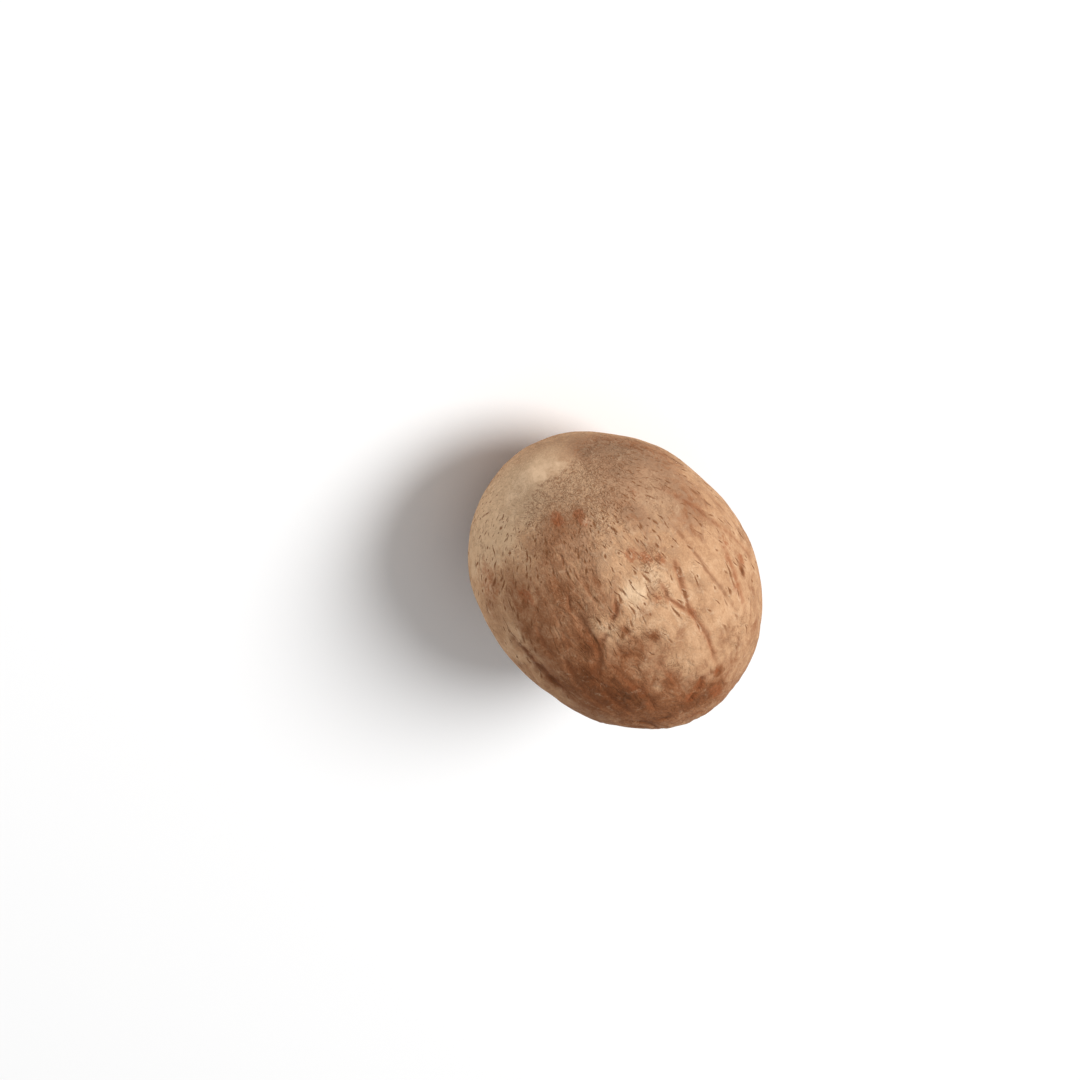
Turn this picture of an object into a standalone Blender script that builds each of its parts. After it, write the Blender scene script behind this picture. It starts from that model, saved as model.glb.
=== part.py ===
"""Whole nutmeg: the dried seed of the nutmeg tree, a single solid lying on its side.

The seed is a slightly egg-shaped ovoid with broad low lobes. Its long axis runs along X, and the hilum,
the scar where the seed was attached, is at the +X end. Shallow folds run lengthwise from end to end, with
a few deeper furrows and one ridge on the upper side. A small flat spot underneath lets it rest at z = 0.

Directions on the seed are given in degrees: longitude turns about the long axis, 0 on top (+Z) and 90
towards +Y, and latitude runs from -90 at the far end to 90 at the hilum end.
"""

import math

import bmesh
import bpy
from mathutils import Matrix, Vector, noise

# Driving dimensions, in metres
HALF_LENGTH = 0.0134
HALF_WIDTH = 0.0100
EGG_TAPER = 0.010  # share by which the hilum end is wider than the middle
FLAT_DEPTH = 0.00036  # how much the flat spot cuts off the underside

# Mesh of the surface
SEGMENTS = 88  # around the long axis
RINGS = 46  # from end to end

# Broad lobes and hollows: longitude, latitude, angular radius, height in metres
LOBES = [
    (118, 29, 30, 0.00020),
    (150, 46, 22, -0.00008),
    (-165, 49, 26, -0.00010),
    (-128, 36, 28, -0.00016),
    (-84, -7, 28, 0.00018),
    (-62, -29, 28, 0.00012),
    (15, -49, 28, 0.00014),
    (52, -36, 22, -0.00012),
    (77, -15, 28, -0.00016),
    (96, 7, 30, -0.00021),
]

# Hilum: a low oval pad with a sunken middle, a little off the end of the long axis
HILUM_LONGITUDE = -74
HILUM_LATITUDE = 82
HILUM_RADIUS = 0.0021
HILUM_HEIGHT = 0.00016
HILUM_DIP = 0.00012

# Lengthwise folds all round, fading out at the hilum
FOLD_COUNT = 11
FOLD_HEIGHT = 0.00004
FOLD_SWAY = 0.5  # radians that the folds wander sideways
FOLD_FADE = 62  # latitude where they have faded by half

# Single furrows (negative) and ridges (positive): where the line starts and ends, its half-width and its
# height in metres
LINES = {
    "side_groove": {"start": (75, 24), "end": (58, -8), "half_width": 0.0011, "height": -0.00030},
    "top_furrow": {"start": (24, 46), "end": (28, 17), "half_width": 0.0010, "height": -0.00012},
    "crown_ridge": {"start": (-7, 34), "end": (-3, 0), "half_width": 0.0015, "height": 0.00016},
    "vein_furrow": {"start": (-25, 24), "end": (-13, -24), "half_width": 0.0010, "height": -0.00010},
    "back_furrow": {"start": (138, 40), "end": (150, -35), "half_width": 0.0012, "height": -0.00014},
    "far_side_furrow": {"start": (-96, 30), "end": (-84, -38), "half_width": 0.0012, "height": -0.00014},
}

# Fine unevenness: size of the bumps and their height, in metres
GRAIN_SIZE = 0.0042
GRAIN_HEIGHT = 0.00007

SHELL_COLOUR = (0.36, 0.21, 0.115, 1.0)
SHELL_ROUGHNESS = 0.72


def direction(longitude, latitude):
    """Unit vector of a place on the seed, before it is stretched into an ovoid."""
    lon = math.radians(longitude)
    lat = math.radians(latitude)
    return Vector((math.sin(lat), math.cos(lat) * math.sin(lon), math.cos(lat) * math.cos(lon)))


def smooth_step(low, high, value):
    t = min(max((value - low) / (high - low), 0.0), 1.0)
    return t * t * (3.0 - 2.0 * t)


def bell(distance, width):
    return math.exp(-((distance / width) ** 2))


def stretch(unit):
    """The plain ovoid: the unit sphere stretched along X, a little wider at the hilum end."""
    width = HALF_WIDTH * (1.0 + EGG_TAPER * unit.x)
    return Vector((unit.x * HALF_LENGTH, unit.y * width, unit.z * width))


def outward(unit):
    """The ovoid's outward normal."""
    normal = Vector((unit.x / HALF_LENGTH, unit.y / HALF_WIDTH, unit.z / HALF_WIDTH))
    return normal.normalized()


def lobe_height(unit):
    total = 0.0
    for longitude, latitude, radius, height in LOBES:
        angle = unit.angle(direction(longitude, latitude))
        total += height * bell(angle, math.radians(radius))
    return total


def hilum_height(point):
    """Pad with a rounded edge and a dip in its middle."""
    centre = stretch(direction(HILUM_LONGITUDE, HILUM_LATITUDE))
    reach = (point - centre).length / HILUM_RADIUS
    pad = HILUM_HEIGHT * (1.0 - smooth_step(0.7, 1.4, reach))
    dip = HILUM_DIP * bell(reach, 0.5)
    return pad - dip


def fold_height(unit):
    """Lengthwise folds whose count and depth vary round the seed."""
    longitude = math.atan2(unit.y, unit.z)
    latitude = math.asin(max(-1.0, min(1.0, unit.x)))
    sway = FOLD_SWAY * noise.noise(unit * 1.7 + Vector((4.0, 0.0, 0.0)))
    strength = 0.6 + 0.6 * noise.noise(unit * 1.3 + Vector((0.0, 9.0, 0.0)))
    fade = 1.0 - smooth_step(math.radians(FOLD_FADE - 18), math.radians(FOLD_FADE + 18), abs(latitude))
    return FOLD_HEIGHT * strength * fade * math.cos(FOLD_COUNT * (longitude + sway))


def line_height(point, line):
    """Height of one furrow or ridge, full along its middle and running out at both ends."""
    start = stretch(direction(*line["start"]))
    end = stretch(direction(*line["end"]))
    along = (point - start).dot(end - start) / (end - start).length_squared
    # the line lies on the curved surface, so the chord's nearest point is lifted back onto it
    nearest = start.lerp(end, min(max(along, 0.0), 1.0))
    lifted = nearest * (point.length / nearest.length)
    ends = smooth_step(-0.15, 0.2, along) * (1.0 - smooth_step(0.8, 1.15, along))
    return line["height"] * ends * bell((point - lifted).length, line["half_width"])


def surface_point(unit):
    """A point of the finished surface above a point of the unit sphere."""
    point = stretch(unit)
    height = lobe_height(unit) + hilum_height(point) + fold_height(unit)
    for line in LINES.values():
        height += line_height(point, line)
    height += GRAIN_HEIGHT * noise.noise(point / GRAIN_SIZE)
    return point + outward(unit) * height


def shell_material():
    material = bpy.data.materials.new("nutmeg")
    material.use_nodes = True
    shader = material.node_tree.nodes["Principled BSDF"]
    shader.inputs["Base Color"].default_value = SHELL_COLOUR
    shader.inputs["Roughness"].default_value = SHELL_ROUGHNESS
    shader.inputs["Metallic"].default_value = 0.0
    return material


def build_nutmeg():
    seed = bmesh.new()
    bmesh.ops.create_uvsphere(seed, u_segments=SEGMENTS, v_segments=RINGS, radius=1.0)
    # the sphere's poles go to the two ends of the seed
    bmesh.ops.rotate(seed, verts=seed.verts, cent=(0, 0, 0), matrix=Matrix.Rotation(math.radians(90), 3, "Y"))
    for vert in seed.verts:
        vert.co = surface_point(vert.co.normalized())

    # cut the flat spot, then stand the seed on it with the origin under the middle of its box
    floor = min(vert.co.z for vert in seed.verts) + FLAT_DEPTH
    for vert in seed.verts:
        vert.co.z = max(vert.co.z, floor)
    low_x = min(vert.co.x for vert in seed.verts)
    high_x = max(vert.co.x for vert in seed.verts)
    low_y = min(vert.co.y for vert in seed.verts)
    high_y = max(vert.co.y for vert in seed.verts)
    shift = Vector((-(low_x + high_x) / 2, -(low_y + high_y) / 2, -floor))
    bmesh.ops.translate(seed, verts=seed.verts, vec=shift)
    bmesh.ops.triangulate(seed, faces=seed.faces)
    bmesh.ops.recalc_face_normals(seed, faces=seed.faces)

    mesh = bpy.data.meshes.new("nutmeg")
    seed.to_mesh(mesh)
    seed.free()
    mesh.shade_smooth()
    mesh.materials.append(shell_material())
    nutmeg = bpy.data.objects.new("nutmeg", mesh)
    bpy.context.scene.collection.objects.link(nutmeg)
    return nutmeg


def main():
    for thing in list(bpy.data.objects):
        bpy.data.objects.remove(thing, do_unlink=True)
    build_nutmeg()


main()
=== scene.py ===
import math
import random
import bmesh
import bpy
from mathutils import Matrix, Vector, noise
from mathutils.bvhtree import BVHTree
from mathutils.kdtree import KDTree


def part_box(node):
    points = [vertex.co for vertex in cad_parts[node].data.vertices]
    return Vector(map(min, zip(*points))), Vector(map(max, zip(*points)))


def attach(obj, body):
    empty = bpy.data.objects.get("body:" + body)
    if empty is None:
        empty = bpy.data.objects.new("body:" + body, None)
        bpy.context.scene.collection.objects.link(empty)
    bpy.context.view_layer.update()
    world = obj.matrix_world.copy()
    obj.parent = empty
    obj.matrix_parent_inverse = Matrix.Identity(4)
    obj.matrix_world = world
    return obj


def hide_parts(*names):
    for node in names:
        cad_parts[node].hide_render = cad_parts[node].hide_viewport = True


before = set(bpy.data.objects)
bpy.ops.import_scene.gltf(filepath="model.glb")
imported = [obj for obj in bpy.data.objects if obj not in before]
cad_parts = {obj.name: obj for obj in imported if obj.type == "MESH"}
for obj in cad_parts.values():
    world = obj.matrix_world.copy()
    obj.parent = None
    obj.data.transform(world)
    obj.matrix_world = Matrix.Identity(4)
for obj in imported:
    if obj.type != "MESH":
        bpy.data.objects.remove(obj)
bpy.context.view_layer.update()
seedLow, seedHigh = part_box("nutmeg")
seedCentre = (seedLow + seedHigh) / 2
seedHalf = (seedHigh - seedLow) / 2
noise.seed_set(11)  # noise vectors start from the clock unless a seed is set
print("frame loaded")

# places on the seed are (longitude, latitude) in degrees: longitude turns about the long axis, 0 on top
# and 90 towards +Y, and latitude runs from -90 at the far end to 90 at the hilum end; lengths are in metres
body = {
    "cuts": 124,                    # grid cuts along each side of the starting cube
    "smoothing": 36,                # passes that take the facets off the solid
    "hilum": (-74, 82),             # where the grain of the shell starts
    "dentSize": 0.0046,             # broad dents
    "dentHeight": 0.00006,
    "wrinkleSize": 0.0013,          # wrinkles, across their run
    "wrinkleRun": 0.0050,           # and along it
    "wrinkleHeight": 0.00005,
    "furrows": [                    # narrow furrows: spacing, run and depth
        (0.0030, 0.0110, 0.00009),
        (0.0015, 0.0045, 0.00005),
    ],
    "finerPaler": 0.35,             # how much less painted shade the second, finer set lays in its furrows
    "furrowWidth": 0.17,            # how near its middle the noise is in a furrow
    "furrowArea": 0.0034,           # size of the areas with and without furrows
    "furrowRoom": (0.0004, 0.0013), # furrows fade in between these distances from a crease
    "swaySize": 0.003,              # how wrinkles and furrows stray
    "sway": 0.6,
    "smoothEnd": (30, 62),          # latitudes over which wrinkles and furrows fade towards the hilum
    "smoothShare": 0.85,
    "poleShare": 0.12,              # how near a pole the grain stops getting finer
    "poleStretch": 1.3,             # and how fast it gets finer before that
}

# furrows and veins: where each runs, its half-width, its depth, how dark and how red it is, and how broken
creases = [
    {"path": [(-27, 25), (-24, 21), (-19, 13), (-15, 6), (-14, -6), (-11, -15), (-10, -24)],
     "width": 0.00022, "depth": 0.00012, "dark": 0.75, "red": 1.0, "broken": 0.15},
    {"path": [(-15, 6), (-12, 15), (-12, 18), (-15, 25)],
     "width": 0.00019, "depth": 0.00007, "dark": 0.70, "red": 1.1, "broken": 0.2},
    {"path": [(21, 53), (21, 49), (24, 43)],
     "width": 0.00013, "depth": 0.00006, "dark": 0.8, "red": 0.2, "broken": 0.4},
    {"path": [(27, 38), (29, 35), (30, 31)],
     "width": 0.00015, "depth": 0.00008, "dark": 0.9, "red": 0.3, "broken": 0.0},
    {"path": [(29, 32), (27, 26), (27, 19), (29, 13), (35, 6), (40, 0)],
     "width": 0.00042, "depth": 0.00013, "dark": 0.6, "red": 0.4, "broken": 0.2},
    {"path": [(36, 38), (38, 29), (39, 22), (42, 14)],
     "width": 0.00019, "depth": 0.00006, "dark": 0.4, "red": 0.2, "broken": 0.7},
    {"path": [(6, 31), (8, 28), (11, 25), (15, 23), (19, 20)],
     "width": 0.00022, "depth": 0.00011, "dark": 1.0, "red": 0.7, "broken": 0.7},
    {"path": [(19, 20), (24, 18), (30, 17)],
     "width": 0.00038, "depth": 0.00011, "dark": 0.7, "red": 0.6, "broken": 0.4},
    {"path": [(75, 23), (69, 18), (65, 12), (61, 4), (57, -6)],
     "width": 0.00120, "depth": 0.00020, "dark": 1.0, "red": 0.4, "broken": 0.5},
    {"path": [(50, 30), (51, 23), (49, 15)],
     "width": 0.00026, "depth": 0.00008, "dark": 0.4, "red": 0.4, "broken": 0.4},
    {"path": [(43, 18), (46, 8), (46, -3), (43, -16)],
     "width": 0.00034, "depth": 0.00010, "dark": 0.4, "red": 0.4, "broken": 0.3},
    {"path": [(27, 12), (25, 1), (24, -12), (27, -24)],
     "width": 0.00030, "depth": 0.00009, "dark": 0.35, "red": 0.5, "broken": 0.4},
    {"path": [(36, 5), (37, -7), (36, -20)],
     "width": 0.00040, "depth": 0.00010, "dark": 0.25, "red": 0.3, "broken": 0.2},
    {"path": [(10, 2), (9, -10), (13, -24)],
     "width": 0.00030, "depth": 0.00007, "dark": 0.25, "red": 0.5, "broken": 0.6},
    {"path": [(-1, -17), (2, -21), (5, -24)],
     "width": 0.00026, "depth": 0.00014, "dark": 1.1, "red": 1.0, "broken": 0.4},
    {"path": [(6, -23), (9, -25), (12, -27)],
     "width": 0.00024, "depth": 0.00013, "dark": 1.1, "red": 1.0, "broken": 0.4},
    {"path": [(-50, 9), (-45, 0), (-41, -8), (-36, -18)],
     "width": 0.00026, "depth": 0.00005, "dark": 0.25, "red": 1.0, "broken": 0.5},
]

# seeded creases that continue round the sides and the back
backCreases = {"seed": 7, "count": 15, "from": 100, "to": 318, "width": 0.00032, "depth": 0.00010}

creaseShape = {
    "steps": 24,            # points on each stretch of a path
    "stray": 0.00009,       # how far a crease strays from its path, and over what length
    "straySize": 0.0011,
    "gapSize": 0.00045,     # the gaps of a broken crease
    "startTaper": 0.18,     # shares of the length over which it runs out
    "endTaper": 0.30,
    "width": 0.8,           # of the crease's own width, and how far noise of a size varies it
    "uneven": 0.5,
    "unevenSize": 0.0007,
}

# patches of the skin, each a place, its angular radius in degrees and its strength
patches = {
    # browner or, below zero, paler
    "brown": [
        (-74, 84, 14, -0.30), (40, 77, 10, -0.24), (-88, 54, 10, 0.42), (-66, 43, 6, -0.26),
        (11, 35, 4, 0.16), (2, 31, 4, 0.18), (0, 19, 3.5, 0.22), (14, 66, 5, 0.24), (-4, 60, 4, 0.18),
        (-18, 54, 5, -0.20),
        (-26, 47, 5, -0.20), (-34, 40, 5, 0.18), (43, 60, 6, 0.14), (22, 58, 5, 0.12), (95, 57, 8, -0.14),
        (65, 24, 5, -0.36), (42, 14, 5, -0.18), (13, 4, 5, -0.20), (-3, -9, 5, -0.22), (12, -11, 4.5, 0.34),
        (92, 62, 24, -0.44), (70, 48, 14, 0.18), (-75, 54, 20, 0.50), (-30, 55, 13, 0.22), (8, 60, 11, 0.32),
        (30, 52, 9, 0.24), (38, 38, 13, 0.38), (26, 28, 12, 0.14), (45, 18, 18, 0.18), (38, 2, 20, 0.50),
        (25, -20, 20, 0.42), (0, -32, 16, 0.40), (-3, 22, 9, -0.10), (0, 28, 4, -0.30), (-40, 20, 18, 0.08),
        (-60, 25, 16, 0.20), (12, 8, 9, 0.34), (60, 28, 9, 0.24), (86, 8, 9, -0.10),
        (110, 25, 24, -0.16), (90, 24, 8, 0.16), (56, 43, 5, 0.14), (-60, 82, 6, 0.12),
        (-22, 24, 3.5, 0.14), (-42, 31, 6, 0.10),
        (165, -42, 30, 0.40), (-100, -30, 24, 0.35), (-50, -62, 30, 0.35), (70, -35, 26, 0.40),
        (-120, 15, 26, -0.20), (-84, 36, 12, 0.30), (-35, 68, 8, -0.20), (15, 60, 16, 0.05),
        (-32, 45, 6, 0.45),
        (5, 48, 6, 0.15), (60, 46, 7, 0.10), (10, 37, 5, 0.12), (82, 34, 9, 0.25), (38, 35, 6, -0.15),
        (0, 25, 5, -0.45), (20, 21, 5, -0.40), (9, 18, 4, -0.20), (-8, 20, 4, 0.40), (-15, 25, 5, -0.20),
        (36, -2, 12, 0.15), (4, -19, 4, -0.10), (-6, -30, 5, 0.10), (-70, 40, 12, 0.25), (-58, 26, 8, 0.15),
        (17, -9, 4, -0.30), (-170, -5, 20, -0.15), (140, 10, 18, 0.30),
    ],
    # small dark marks, which add to the brown
    "dark": [
        (66, 18, 3, 0.6), (64, 11, 3, 0.25), (61, 3, 4, 0.8), (57, -5, 3, 0.2), (9, 64, 3, 0.22),
        (-8, 59, 3, 0.28), (-57, 55, 4, 0.4), (-82, 66, 5, 0.4), (-9, -23, 2.5, 0.50), (2, -20, 2, 0.3),
        (-50, -6, 2, 0.7), (30, 18, 4, 0.35), (40, 9, 5, 0.3), (135, 20, 6, 0.4), (-120, -12, 5, 0.5),
        (172, 12, 5, 0.4), (12, 18, 2, 0.5), (4, 10, 2, 0.5),
    ],
    "red": [
        (84, 44, 14, 0.45), (-8, 20, 3, 0.6), (56, 55, 6, 0.25), (-9, 61, 2.4, 1.0), (-7, 57, 2.2, 0.9),
        (9, 66, 2.3, 0.8), (9, 63, 2.2, 0.7), (-13, 37, 3.2, 0.9), (-17, 32, 2.6, 1.0), (-22, 28, 2.4, 0.8),
        (-45, 27, 3, 0.4), (-45, 47, 4, 0.4), (-15, 6, 2.6, 0.9), (-54, -4, 3, 0.8), (-40, -5, 2.5, 0.8),
        (2, -21, 3, 0.8), (9, -24, 3, 0.8), (-2, -30, 4, 0.7), (-8, -22, 2.5, 0.6), (-2, -36, 4, 0.6),
        (54, 42, 4, 0.5), (49, 39, 3, 0.5), (120, 10, 8, 0.5), (-110, 0, 8, 0.5), (175, 20, 7, 0.4),
        (27, -4, 4, 0.4), (-52, 6, 4, 0.5),
    ],
    "ash": [
        (-58, 36, 18, 0.50), (-76, 44, 14, 0.35), (-20, 66, 16, 0.6), (50, 76, 14, 0.5), (-68, 52, 16, 0.5),
        (-38, 40, 16, 0.45), (2, 45, 8, 0.4), (-12, 24, 7, 0.5), (-110, 70, 25, 0.5), (150, 60, 25, 0.4),
        (-22, 10, 7, 0.3),
    ],
    "cream": [
        (-63, 88, 8, 0.7), (-58, 79, 6, 0.6), (89, 80, 8, 0.7), (75, 68, 8, 0.4), (-9, 56, 1.8, 1.0),
        # the cream spots near longitude 0 and latitudes 20 to 30 sit on the crown and are partly pale skin,
        # partly a painted highlight
        (1, 30, 4, 0.7), (-3, 25, 4, 0.6), (-1, 20, 3, 0.5), (78, 14, 4, 0.5), (86, 35, 10, 0.3),
        (4, 21, 3, 0.5), (-12, 0, 5, 0.4),
    ],
    # more pores or, below zero, fewer
    "pores": [
        (62, 55, 20, 0.35), (20, 45, 20, 0.15), (0, 28, 12, 0.15), (-20, 58, 18, 0.30), (-32, -2, 20, -0.20),
        (5, -12, 20, -0.25), (40, -6, 24, -0.20), (-60, 30, 18, -0.2), (-63, 84, 12, -0.4),
    ],
    "pits": [
        (66, 18, 4, 0.9), (62, 9, 4, 0.9), (58, 0, 4, 0.7), (4, -22, 8, 0.5), (-9, -23, 4, 0.5),
        (22, 25, 10, 0.3), (8, 12, 8, 0.3), (0, -36, 8, 0.4), (-17, 69, 12, 0.9), (-25, 57, 10, 0.8),
        (37, 73, 9, 0.6), (-60, 60, 12, 0.5), (-17, 31, 4, 0.7), (-12, 20, 6, 0.5), (-110, -20, 9, 0.7),
        (160, 20, 9, 0.5), (130, -10, 8, 0.5),
    ],
}

# what the skin is like where there is no patch, and how far noise varies it
skin = {
    "brown": 0.33,
    "mottleSize": 0.0032,
    "mottle": 0.13,
    "furrowShade": 0.25,    # painted shade: the bottom of a furrow is darker
    "redSize": 0.0022,
    "red": 0.20,
    "pores": 0.68,
    "pits": 0.20,
    "pitSize": 0.0025,
    "pitSpread": 0.5,
    "creamPits": 0.9,       # cream skin has few pits
}


def seedUnit(longitude, latitude):
    lon = math.radians(longitude)
    lat = math.radians(latitude)
    return Vector((math.sin(lat), math.cos(lat) * math.sin(lon), math.cos(lat) * math.cos(lon)))


def onOvoid(unit):
    return Vector((unit.x * seedHalf.x, unit.y * seedHalf.y, unit.z * seedHalf.z))


def unitOf(point):
    local = point - seedCentre
    return Vector((local.x / seedHalf.x, local.y / seedHalf.y, local.z / seedHalf.z)).normalized()


def clamp(value, low, high):
    return min(max(value, low), high)


def smoothStep(low, high, value):
    t = clamp((value - low) / (high - low), 0.0, 1.0)
    return t * t * (3.0 - 2.0 * t)


def spotSum(unit, spots):
    total = 0.0
    for longitude, latitude, radius, strength in spots:
        away = math.degrees(unit.angle(seedUnit(longitude, latitude))) / radius
        if away < 2.5:  # a patch adds next to nothing beyond that
            total += strength * math.exp(-away * away)
    return total


# the grain of the shell runs out from the hilum, which sits a little off the end of the long axis
grainTurn = seedUnit(*body["hilum"]).rotation_difference(Vector((1, 0, 0))).to_matrix()


def grainPlaceOf(unit):
    # the place turned so that the hilum is at the pole, and its latitude there
    grain = grainTurn @ unit
    return grain, math.degrees(math.asin(clamp(grain.x, -1.0, 1.0)))


def grainTable():
    # distance along the grain from the middle, stretched near both poles where the grain is finer
    table = [0.0]
    for step in range(90):
        t = math.radians(step + 0.5)
        length = math.hypot(seedHalf.x * math.cos(t), seedHalf.y * math.sin(t)) * math.radians(1)
        table.append(table[-1] + length / max(math.cos(t), body["poleShare"]) ** body["poleStretch"])
    return table


grainLengths = grainTable()


def grainHeight(latitude):
    step = min(abs(latitude), 89.999)
    low = int(step)
    height = grainLengths[low] + (grainLengths[low + 1] - grainLengths[low]) * (step - low)
    return math.copysign(height, latitude)


def addBackCreases():
    chance = random.Random(backCreases["seed"])
    made = []
    for number in range(backCreases["count"]):
        share = (number + chance.uniform(-0.3, 0.3)) / (backCreases["count"] - 1)
        longitude = backCreases["from"] + (backCreases["to"] - backCreases["from"]) * share
        start = chance.uniform(15, 52)
        run = chance.uniform(22, 62)
        lean = chance.uniform(-9, 9)
        path = []
        for step in range(5):
            along = step / 4
            path.append((longitude + lean * along + chance.uniform(-3, 3), start - run * along))
        made.append({"path": path, "width": backCreases["width"] * chance.uniform(0.5, 1.2),
                     "depth": backCreases["depth"] * chance.uniform(0.4, 1.1),
                     "dark": chance.uniform(0.3, 0.8), "red": chance.uniform(0.1, 0.8),
                     "broken": chance.uniform(0.2, 0.7)})
    return made


def alongCurve(corners, index, t):
    # a smooth curve through the corners, at share t of the stretch after the one numbered index
    before = corners[max(index - 1, 0)]
    left = corners[index]
    right = corners[index + 1]
    after = corners[min(index + 2, len(corners) - 1)]
    return 0.5 * (2 * left + (right - before) * t + (2 * before - 5 * left + 4 * right - after) * t * t
                  + (3 * left - before - 3 * right + after) * t ** 3)


def creaseTree():
    # close-set points along every crease, each with its crease and its strength, less at its ends and gaps
    points = []
    steps = creaseShape["steps"]
    for crease in creases + addBackCreases():
        corners = [onOvoid(seedUnit(*place)) for place in crease["path"]]
        count = (len(corners) - 1) * steps
        for number in range(count + 1):
            index = min(number // steps, len(corners) - 2)
            spot = alongCurve(corners, index, number / steps - index)
            spot += creaseShape["stray"] * noise.noise_vector(spot / creaseShape["straySize"])
            share = number / count
            taper = smoothStep(0, creaseShape["startTaper"], share)
            taper *= smoothStep(0, creaseShape["endTaper"], 1 - share)
            gap = smoothStep(-0.1, 0.35, noise.noise(spot / creaseShape["gapSize"]))
            points.append((spot, crease, taper * (1 - crease["broken"] * gap)))
    tree = KDTree(len(points))
    for number, point in enumerate(points):
        tree.insert(point[0], number)
    tree.balance()
    return tree, points


def buildSurface():
    # a cube of grid cuts, blown up round the solid and drawn in onto it along straight lines
    solid = bmesh.new()
    solid.from_mesh(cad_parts["nutmeg"].data)
    bmesh.ops.remove_doubles(solid, verts=solid.verts, dist=1e-6)
    target = BVHTree.FromBMesh(solid)
    solid.free()

    shell = bmesh.new()
    bmesh.ops.create_cube(shell, size=2.0)
    bmesh.ops.subdivide_edges(shell, edges=shell.edges, cuts=body["cuts"], use_grid_fill=True)
    for vert in shell.verts:
        even = Vector([math.tan(value * math.pi / 4) for value in vert.co])
        outside = onOvoid(even.normalized()) * 2.0
        hit = target.ray_cast(seedCentre + outside, -outside)
        vert.co = hit[0]
    for smoothPass in range(body["smoothing"]):
        bmesh.ops.smooth_vert(shell, verts=shell.verts, factor=0.5, use_axis_x=True, use_axis_y=True,
                              use_axis_z=True)
    bmesh.ops.recalc_face_normals(shell, faces=shell.faces)
    shell.normal_update()
    return shell


def relief(unit, place, room):
    # broad dents, wrinkles that follow the grain, and narrow furrows where a drawn-out noise crosses its
    # middle; room is 0 beside a crease and 1 away from it; returns the height and how deep in a furrow it is
    broad = noise.fractal(place / body["dentSize"], 1.0, 2.0, 3)
    grain, latitude = grainPlaceOf(unit)
    longitude = math.atan2(grain.y, grain.z)
    fade = 1.0 - body["smoothShare"] * smoothStep(*body["smoothEnd"], latitude)
    sway = noise.noise_vector(place / body["swaySize"])

    def drawnOut(size, run):
        across = seedHalf.y / size
        along = grainHeight(latitude) / run
        straight = Vector((math.cos(longitude) * across, math.sin(longitude) * across, along))
        return straight + body["sway"] * sway

    wrinkle = noise.fractal(drawnOut(body["wrinkleSize"], body["wrinkleRun"]), 1.0, 2.1, 2)
    height = body["dentHeight"] * broad + body["wrinkleHeight"] * wrinkle * fade
    deepest = 0.0
    for number, (size, run, depth) in enumerate(body["furrows"]):
        offset = Vector((5.0 * number + 2.0, 0, 0))
        crossing = abs(noise.noise(drawnOut(size, run) + offset))
        shown = smoothStep(-0.10, 0.30, noise.noise(place / body["furrowArea"] + offset)) * fade
        share = shown * room * (1.0 - smoothStep(0.0, body["furrowWidth"], crossing))
        height -= depth * share
        # how deep in a furrow a place is, which sets the painted shade at the bottom of furrows
        deepest = max(deepest, share * (1.0 - body["finerPaler"] * number))
    return height, deepest


def skinAt(unit, place, furrow):
    # how brown, red, ashen, cream, pitted and pored the skin is; the brown takes in painted shade at the
    # bottom of furrows
    mottle = noise.fractal(place / skin["mottleSize"] + Vector((3, 1, 7)), 1.0, 2.0, 4)
    # the furrow term is painted shade, darker at the bottom of furrows
    brown = (skin["brown"] + spotSum(unit, patches["brown"]) + spotSum(unit, patches["dark"])
             + skin["mottle"] * mottle + skin["furrowShade"] * furrow)
    redNoise = noise.noise(place / skin["redSize"] + Vector((9, 4, 2)))
    red = spotSum(unit, patches["red"]) + skin["red"] * max(0.0, redNoise)
    cream = spotSum(unit, patches["cream"])
    pitNoise = noise.noise(place / skin["pitSize"] + Vector((1, 8, 3)))
    pits = skin["pits"] + skin["pitSpread"] * pitNoise + spotSum(unit, patches["pits"])
    pits -= skin["creamPits"] * cream
    return {"brown": clamp(brown, -0.2, 1.5), "red": min(red, 1.0), "ash": spotSum(unit, patches["ash"]),
            "cream": cream, "pits": clamp(pits, 0.0, 1.2),
            "pores": clamp(skin["pores"] + spotSum(unit, patches["pores"]), 0.0, 1.0)}


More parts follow.
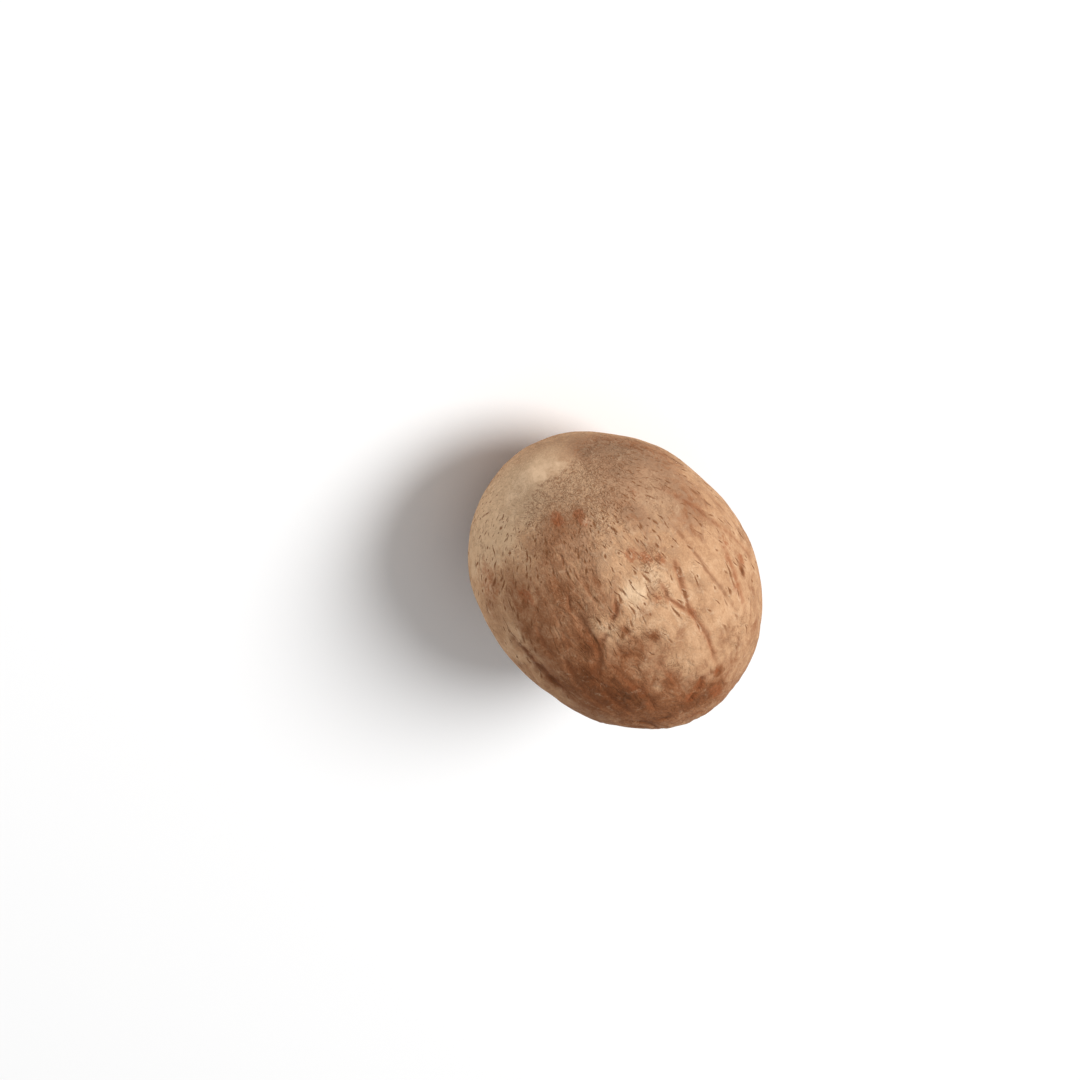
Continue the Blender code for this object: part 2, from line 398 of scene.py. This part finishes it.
def buildNutmeg():
    shell = buildSurface()
    print("surface smoothed:", len(shell.faces), "faces")
    tree, points = creaseTree()
    # what the material reads: the way round and the distance along the grain in millimetres, the nearest
    # crease, and the skin with the angle from the hilum
    rows = {"grainFlow": [], "creaseFlow": [], "tones": [], "casts": []}
    poreShare = []
    normals = [vert.normal.copy() for vert in shell.verts]
    for vert, normal in zip(shell.verts, normals):
        unit = unitOf(vert.co)
        place = onOvoid(unit)
        found, number, away = tree.find(place)
        crease, strength = points[number][1:]
        uneven = creaseShape["uneven"] * noise.noise(place / creaseShape["unevenSize"])
        reach = away / (crease["width"] * (creaseShape["width"] + uneven))
        height, furrow = relief(unit, place, smoothStep(*body["furrowRoom"], away))
        height -= crease["depth"] * strength * math.exp(-reach * reach)

        grain, latitude = grainPlaceOf(unit)
        ring = Vector((grain.z, grain.y)).normalized()
        spot = skinAt(unit, place, furrow)
        rows["grainFlow"] += (ring.x, ring.y, grainHeight(latitude) * 1000)
        rows["creaseFlow"] += (min(reach, 5.0), crease["dark"] * strength, crease["red"] * strength)
        rows["tones"] += (spot["brown"], spot["red"], 90 - latitude)
        rows["casts"] += (spot["ash"], spot["cream"], spot["pits"])
        poreShare.append(spot["pores"])
        vert.co += normal * height
        vert.co.z = max(vert.co.z, 0.0)

    mesh = bpy.data.meshes.new("nutmegShell")
    shell.to_mesh(mesh)
    shell.free()
    mesh.shade_smooth()
    for name, values in rows.items():
        mesh.attributes.new(name, "FLOAT_VECTOR", "POINT").data.foreach_set("vector", values)
    mesh.attributes.new("poreShare", "FLOAT", "POINT").data.foreach_set("value", poreShare)
    nutmeg = bpy.data.objects.new("nutmegShell", mesh)
    bpy.context.scene.collection.objects.link(nutmeg)
    return nutmeg


class Link:
    # a node's output; arithmetic on it adds Math nodes

    def __init__(self, graph, socket):
        self.graph = graph
        self.socket = socket

    def __add__(self, other):
        return self.graph.math("ADD", self, other)

    def __radd__(self, other):
        return self.graph.math("ADD", other, self)

    def __sub__(self, other):
        return self.graph.math("SUBTRACT", self, other)

    def __rsub__(self, other):
        return self.graph.math("SUBTRACT", other, self)

    def __mul__(self, other):
        return self.graph.math("MULTIPLY", self, other)

    def __rmul__(self, other):
        return self.graph.math("MULTIPLY", other, self)

    def __truediv__(self, other):
        return self.graph.math("DIVIDE", self, other)

    def __rtruediv__(self, other):
        return self.graph.math("DIVIDE", other, self)

    def __pow__(self, other):
        return self.graph.math("POWER", self, other)

    def __rpow__(self, other):
        return self.graph.math("POWER", other, self)


class Graph:
    def __init__(self, tree):
        self.tree = tree

    def node(self, kind, settings=None, inputs=None, output=0):
        made = self.tree.nodes.new(kind)
        for name, value in (settings or {}).items():
            if name == "stops":
                ramp = made.color_ramp
                while len(ramp.elements) < len(value):
                    ramp.elements.new(0.5)
                for element, (position, colour) in zip(ramp.elements, value):
                    element.position = position
                    element.color = (*colour, 1.0)
            else:
                setattr(made, name, value)
        for name, value in (inputs or {}).items():
            if isinstance(value, Link):
                self.tree.links.new(value.socket, made.inputs[name])
            else:
                made.inputs[name].default_value = value
        return Link(self, made.outputs[output])

    def math(self, operation, *values):
        return self.node("ShaderNodeMath", {"operation": operation}, dict(enumerate(values)))

    def mix(self, share, first, second):
        # share, A and B of a colour mix are its sockets 0, 6 and 7, and its colour output is 2
        settings = {"data_type": "RGBA", "blend_type": "MIX", "clamp_factor": True}
        return self.node("ShaderNodeMix", settings, {0: share, 6: first, 7: second}, 2)

    def step(self, value, low, high):
        # 0 below low, 1 above high, smooth between
        settings = {"interpolation_type": "SMOOTHSTEP"}
        return self.node("ShaderNodeMapRange", settings,
                         {"Value": value, "From Min": low, "From Max": high, "To Min": 0.0, "To Max": 1.0})

    def vector(self, x, y, z):
        return self.node("ShaderNodeCombineXYZ", inputs={"X": x, "Y": y, "Z": z})

    def split(self, vector):
        parts = self.node("ShaderNodeSeparateXYZ", inputs={"Vector": vector})
        return [Link(self, parts.socket.node.outputs[axis]) for axis in range(3)]

    def attribute(self, name, output="Vector"):
        return self.node("ShaderNodeAttribute", {"attribute_name": name}, output=output)

    def noise(self, vector, scale, detail, roughness=0.5, distortion=0.0):
        return self.node("ShaderNodeTexNoise", {"noise_dimensions": "3D"},
                         {"Vector": vector, "Scale": scale, "Detail": detail, "Roughness": roughness,
                          "Distortion": distortion})


# the shell's colours from the palest to the darkest, each with the brownness it stands at
shellTones = [(0.00, (0.64, 0.430, 0.264)), (0.25, (0.55, 0.326, 0.185)), (0.45, (0.45, 0.250, 0.135)),
              (0.62, (0.36, 0.182, 0.096)), (0.80, (0.28, 0.117, 0.053)), (1.00, (0.20, 0.072, 0.029)),
              (1.40, (0.09, 0.031, 0.013))]

# colours laid over the tones, and how far each covers them
shellColours = {
    "ash": ((0.43, 0.276, 0.170), 0.55),
    "red": ((0.31, 0.092, 0.034), 0.60),
    "cream": ((0.77, 0.545, 0.355), 0.75),
    "pale": ((0.66, 0.46, 0.30), 0.45),     # pale flecks in pitted skin
    "halo": ((0.31, 0.092, 0.034), 0.55),   # red beside a crease
    "crease": ((0.150, 0.050, 0.019), 0.80),
    "lipHighlight": ((0.66, 0.46, 0.30), 0.55),      # painted highlight on the rim of a pore
    "pore": ((0.200, 0.080, 0.033), 0.90),
    "pitting": ((0.200, 0.080, 0.033), 0.50),
}

# noises, each with its scale per millimetre, detail, roughness and distortion
shellNoises = {
    "blotch": (0.45, 3.0, 0.55, 0.8),
    "patch": (1.15, 3.0, 0.60, 0.7),        # patch and fleck are drawn out along the grain
    "fleck": (3.4, 3.0, 0.60, 0.5),
    "grit": (6.5, 2.0, 0.60, 0.0),
    "flake": (1.3, 4.0, 0.65, 0.9),         # ragged edges of cream skin
    "squiggle": (2.8, 1.5, 0.5, 1.2),       # pitting
    "gaps": (1.9, 2.0, 0.5, 0.0),           # where pitting breaks off
}

shellLook = {
    "grainRound": 9.9,      # the girth's radius in millimetres
    "grainStretch": 0.72,   # below 1, patches and flecks are longer along the grain
    "blotchTone": 0.44,     # how far each noise changes the brown
    "patchTone": 0.13,
    "fleckTone": 0.08,
    "gritTone": 0.38,
    "patchRelief": 0.20,    # the bump's share of the relief, in millimetres
    "fleckRelief": 0.070,
    "blotchRelief": 0.10,
    "gritRelief": 0.014,
    "poreRelief": 0.020,
    "pitRelief": 0.025,
    "creaseRelief": 0.030,
    "lipRelief": 0.010,
    "roughness": 0.55,
    "fleckRoughness": 0.20,
    "poreRoughness": 0.15,
    "specular": 0.01,
    "bumpDepth": 0.001,     # metres of relief for a height of 1
}

# dots, dashes and slits: cell across and along the grain, half-width and half-length, all in millimetres
poreSizes = [
    {"across": 0.50, "along": 0.75, "halfWidth": 0.065, "halfLength": 0.17, "seed": 3.0},
    {"across": 0.78, "along": 1.25, "halfWidth": 0.110, "halfLength": 0.42, "seed": 11.0},
    {"across": 1.50, "along": 2.40, "halfWidth": 0.155, "halfLength": 0.68, "seed": 23.0},
]

poreShape = {
    "strayScale": 0.45,     # how the rows of pores stray
    "stray": 1.6,
    "lean": 0.8,
    "shortest": 0.30,       # of the half-length, and how much longer the longest are
    "longer": 0.95,
    "narrowest": 0.60,      # of the half-width, and how much wider the widest are
    "wider": 0.7,
    "taper": 0.9,
    "ragged": 1.3,
}


def poreLayer(graph, turn, height, grit, density, size):
    # one dash in each cell of a flat pattern wrapped round the seed, each with its own length, width, lean
    # and darkness; returns how far inside a dash a place is, and how far on the lip round it, where a pale
    # painted highlight goes
    around = turn * (seedHalf.y * 1000 / size["across"]) + size["seed"]
    down = height / size["along"] + size["seed"]
    stray = graph.noise(graph.vector(around, down, 0.0), poreShape["strayScale"], 2.0)
    around = around + (stray - 0.5) * poreShape["stray"]
    cell = graph.node("ShaderNodeTexVoronoi", {"voronoi_dimensions": "2D", "feature": "F1"},
                      {"Vector": graph.vector(around, down, 0.0), "Scale": 1.0, "Randomness": 0.95})
    outputs = cell.socket.node.outputs
    chance = graph.split(Link(graph, outputs["Color"]))
    middle = graph.split(Link(graph, outputs["Position"]))
    shown = graph.step(density - chance[0], 0.0, 0.5)
    aside = around - middle[0]
    below = down - middle[1]
    length = poreShape["shortest"] + chance[2] * poreShape["longer"]
    width = poreShape["narrowest"] + chance[1] * poreShape["wider"]
    lean = (chance[1] - 0.5) * poreShape["lean"]
    along = below * (size["along"] / size["halfLength"]) / length
    taper = 0.75 + along * (chance[0] - 0.5) * poreShape["taper"]
    across = (aside + below * lean) * (size["across"] / size["halfWidth"]) / width / taper
    reach = (across * across + along * along) ** 0.5 + (grit - 0.5) * poreShape["ragged"]
    inside = (1.0 - graph.step(reach, 0.35, 1.30)) * shown
    lipHighlight = graph.step(reach, 1.0, 1.5) * (1.0 - graph.step(reach, 1.6, 2.9)) * shown
    return inside, lipHighlight


def buildShellMaterial():
    material = bpy.data.materials.new("nutmegShell")
    material.use_nodes = True
    tree = material.node_tree
    graph = Graph(tree)
    look = shellLook
    shader = tree.nodes["Principled BSDF"]
    shader.inputs["Specular IOR Level"].default_value = look["specular"]

    place = graph.node("ShaderNodeTexCoord", output="Object")
    spot = graph.node("ShaderNodeVectorMath", {"operation": "SCALE"}, {"Vector": place, "Scale": 1000.0})
    ringX, ringY, height = graph.split(graph.attribute("grainFlow"))
    creaseReach, creaseDark, creaseRed = graph.split(graph.attribute("creaseFlow"))
    brownTone, redTone, fromHilum = graph.split(graph.attribute("tones"))
    ashTone, creamTone, pitTone = graph.split(graph.attribute("casts"))
    poreShare = graph.attribute("poreShare", "Fac")

    # unevenness, with the place in millimetres
    grainPlace = graph.vector(ringX * look["grainRound"], ringY * look["grainRound"],
                              height * look["grainStretch"])
    blotch = graph.noise(spot, *shellNoises["blotch"])
    patch = graph.noise(grainPlace, *shellNoises["patch"])
    fleck = graph.noise(grainPlace, *shellNoises["fleck"])
    grit = graph.noise(spot, *shellNoises["grit"])
    flake = graph.noise(spot, *shellNoises["flake"])
    squiggle = graph.noise(spot, *shellNoises["squiggle"])
    gaps = graph.noise(spot, *shellNoises["gaps"])
    # the grain bunches up at both ends of the seed, so its relief fades there
    grainFade = graph.step(fromHilum, 4.0, 18.0) * (1.0 - graph.step(fromHilum, 164.0, 176.0))
    patchEdge = graph.step(patch, 0.41, 0.59) - 0.5
    fleckEdge = graph.step(fleck, 0.38, 0.62) - 0.5
    paleSkin = 1.0 - graph.step(brownTone, 0.25, 0.70)
    pitted = graph.step(pitTone, 0.05, 0.60)

    toned = (brownTone + (blotch - 0.5) * look["blotchTone"] + patchEdge * look["patchTone"]
             + fleckEdge * look["fleckTone"] + (grit - 0.5) * look["gritTone"])
    darkest = shellTones[-1][0]
    stops = [(brown / darkest, shade) for brown, shade in shellTones]
    base = graph.node("ShaderNodeValToRGB", {"stops": stops}, {"Fac": toned / darkest})

    def lay(name, share, under):
        shade, cover = shellColours[name]
        return graph.mix(share * cover, under, (*shade, 1.0))

    base = lay("ash", graph.step(ashTone + patchEdge * 0.4 + (fleck - 0.5) * 0.5, 0.05, 0.85), base)
    base = lay("red", graph.step(redTone + (fleck - 0.5) * 1.1, 0.25, 0.70), base)
    # cream skin; on the crown it is partly a painted highlight
    base = lay("cream", graph.step(creamTone + (flake - 0.5) * 2.6 + (grit - 0.5) * 1.0, 0.10, 1.40), base)
    base = lay("pale", graph.step(fleck + (grit - 0.5) * 0.5, 0.54, 0.66) * pitted * paleSkin, base)

    # creases: a dark core in a red halo
    creaseEdge = creaseReach * (0.55 + fleck * 0.9)
    creaseCore = graph.math("MINIMUM", (1.0 - graph.step(creaseEdge, 0.10, 1.15)) * creaseDark, 1.1)
    base = lay("halo", (1.0 - graph.step(creaseEdge, 0.4, 2.6)) * creaseRed, base)
    base = lay("crease", creaseCore, base)

    # pores: dots crowd round the hilum, dashes and slits spread down the sides
    turn = graph.math("ARCTAN2", ringY, ringX)
    nearRing = graph.step(fromHilum, 10.0, 20.0) * (1.0 - graph.step(fromHilum, 30.0, 52.0))
    midRing = graph.step(fromHilum, 20.0, 34.0) * (1.0 - graph.step(fromHilum, 80.0, 135.0))
    densities = [nearRing * 0.40 + pitTone * 0.60 + blotch * 0.10,
                 poreShare * (midRing * (0.50 + blotch) + 0.12),
                 poreShare * (midRing * 1.1 + blotch * 0.3)]
    layers = [poreLayer(graph, turn, height, grit, *layer) for layer in zip(densities, poreSizes)]
    (dots, dotLip), (dashes, dashLip), (slits, slitLip) = layers
    pores = graph.math("MAXIMUM", dots, graph.math("MAXIMUM", dashes, slits))
    lipHighlight = graph.math("MAXIMUM", dotLip, graph.math("MAXIMUM", dashLip, slitLip))
    lipHighlight = lipHighlight * graph.step(fleck, 0.40, 0.60)

    # pitting: broken dark squiggles, each a thin line where a fine noise crosses its middle
    line = 1.0 - graph.step(graph.math("ABSOLUTE", squiggle - 0.5), 0.020, 0.075)
    pitting = line * graph.step(gaps + pitTone * 0.16, 0.50, 0.62) * pitted
    # painted highlight: a pale rim round each pore on pale skin; the lip is also raised by the bump below
    base = lay("lipHighlight", lipHighlight * paleSkin, base)
    base = lay("pore", pores, base)
    base = lay("pitting", pitting, base)
    tree.links.new(base.socket, shader.inputs["Base Color"])

    fineRelief = ((patch * look["patchRelief"] + fleck * look["fleckRelief"]) * grainFade
                  + blotch * look["blotchRelief"] + grit * look["gritRelief"] - pores * look["poreRelief"]
                  - pitting * look["pitRelief"] - creaseCore * look["creaseRelief"] + lipHighlight * look["lipRelief"])
    bump = graph.node("ShaderNodeBump", inputs={"Strength": 1.0, "Distance": look["bumpDepth"],
                                                "Height": fineRelief})
    tree.links.new(bump.socket, shader.inputs["Normal"])
    rough = look["roughness"] + fleck * look["fleckRoughness"] + pores * look["poreRoughness"]
    tree.links.new(rough.socket, shader.inputs["Roughness"])
    return material


studio = {
    "elevation": 50.0,      # the camera looks down on the hilum end
    "roll": 140.3,          # and is turned about its line of sight
    "lens": 100.0,
    "distance": 0.224,
    "aside": 0.0059,        # how far the seed stands to the right of the middle of the view
    "below": 0.0031,        # and below it
    "floorSize": 3.0,
    "floorColour": (0.86, 0.86, 0.86),
    "ambient": 0.46,
    "lightSize": 0.38,
    "lightDistance": 0.62,
    # each light's power, and its direction in the view: to the right, up and towards the camera
    "lights": {"key": (4.0, (0.80, -0.05, 0.60)), "fill": (1.7, (-0.55, 0.65, 0.55))},
}


def viewAxes():
    level = math.radians(studio["elevation"])
    roll = math.radians(studio["roll"])
    right = Vector((0, 1, 0))
    up = Vector((-math.sin(level), 0, math.cos(level)))
    toCamera = Vector((math.cos(level), 0, math.sin(level)))
    rolledRight = right * math.cos(roll) + up * math.sin(roll)
    rolledUp = up * math.cos(roll) - right * math.sin(roll)
    return rolledRight, rolledUp, toCamera


def buildCamera():
    right, up, toCamera = viewAxes()
    camera = bpy.data.objects.new("camera", bpy.data.cameras.new("camera"))
    camera.data.lens = studio["lens"]
    camera.data.clip_start = 0.005
    aim = seedCentre - right * studio["aside"] + up * studio["below"]
    turn = Matrix((right, up, toCamera)).transposed().to_4x4()
    camera.matrix_world = Matrix.Translation(aim + toCamera * studio["distance"]) @ turn
    bpy.context.scene.collection.objects.link(camera)
    bpy.context.scene.camera = camera


def buildFloor():
    floor = bmesh.new()
    bmesh.ops.create_grid(floor, x_segments=2, y_segments=2, size=studio["floorSize"] / 2)
    mesh = bpy.data.meshes.new("floor")
    floor.to_mesh(mesh)
    floor.free()
    paper = bpy.data.materials.new("floor")
    paper.use_nodes = True
    shader = paper.node_tree.nodes["Principled BSDF"]
    shader.inputs["Base Color"].default_value = (*studio["floorColour"], 1.0)
    shader.inputs["Roughness"].default_value = 0.9
    shader.inputs["Specular IOR Level"].default_value = 0.1
    mesh.materials.append(paper)
    ground = bpy.data.objects.new("floor", mesh)
    bpy.context.scene.collection.objects.link(ground)


def buildLights():
    world = bpy.data.worlds.new("studio")
    world.use_nodes = True
    background = world.node_tree.nodes["Background"]
    background.inputs["Color"].default_value = (1.0, 1.0, 1.0, 1.0)
    background.inputs["Strength"].default_value = studio["ambient"]
    bpy.context.scene.world = world

    right, up, toCamera = viewAxes()
    for name, (power, (aside, above, front)) in studio["lights"].items():
        direction = right * aside + up * above + toCamera * front
        lamp = bpy.data.objects.new(name + "Light", bpy.data.lights.new(name + "Light", "AREA"))
        lamp.data.shape = "DISK"
        lamp.data.size = studio["lightSize"]
        lamp.data.energy = power
        lamp.location = seedCentre + direction.normalized() * studio["lightDistance"]
        lamp.rotation_euler = direction.to_track_quat("Z", "Y").to_euler()
        bpy.context.scene.collection.objects.link(lamp)
    bpy.context.scene.view_settings.view_transform = "Standard"


buildCamera()
buildFloor()
buildLights()
print("studio ready")
nutmeg = buildNutmeg()
nutmeg.data.materials.append(buildShellMaterial())
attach(nutmeg, "root")
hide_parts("nutmeg")
print("nutmeg built")
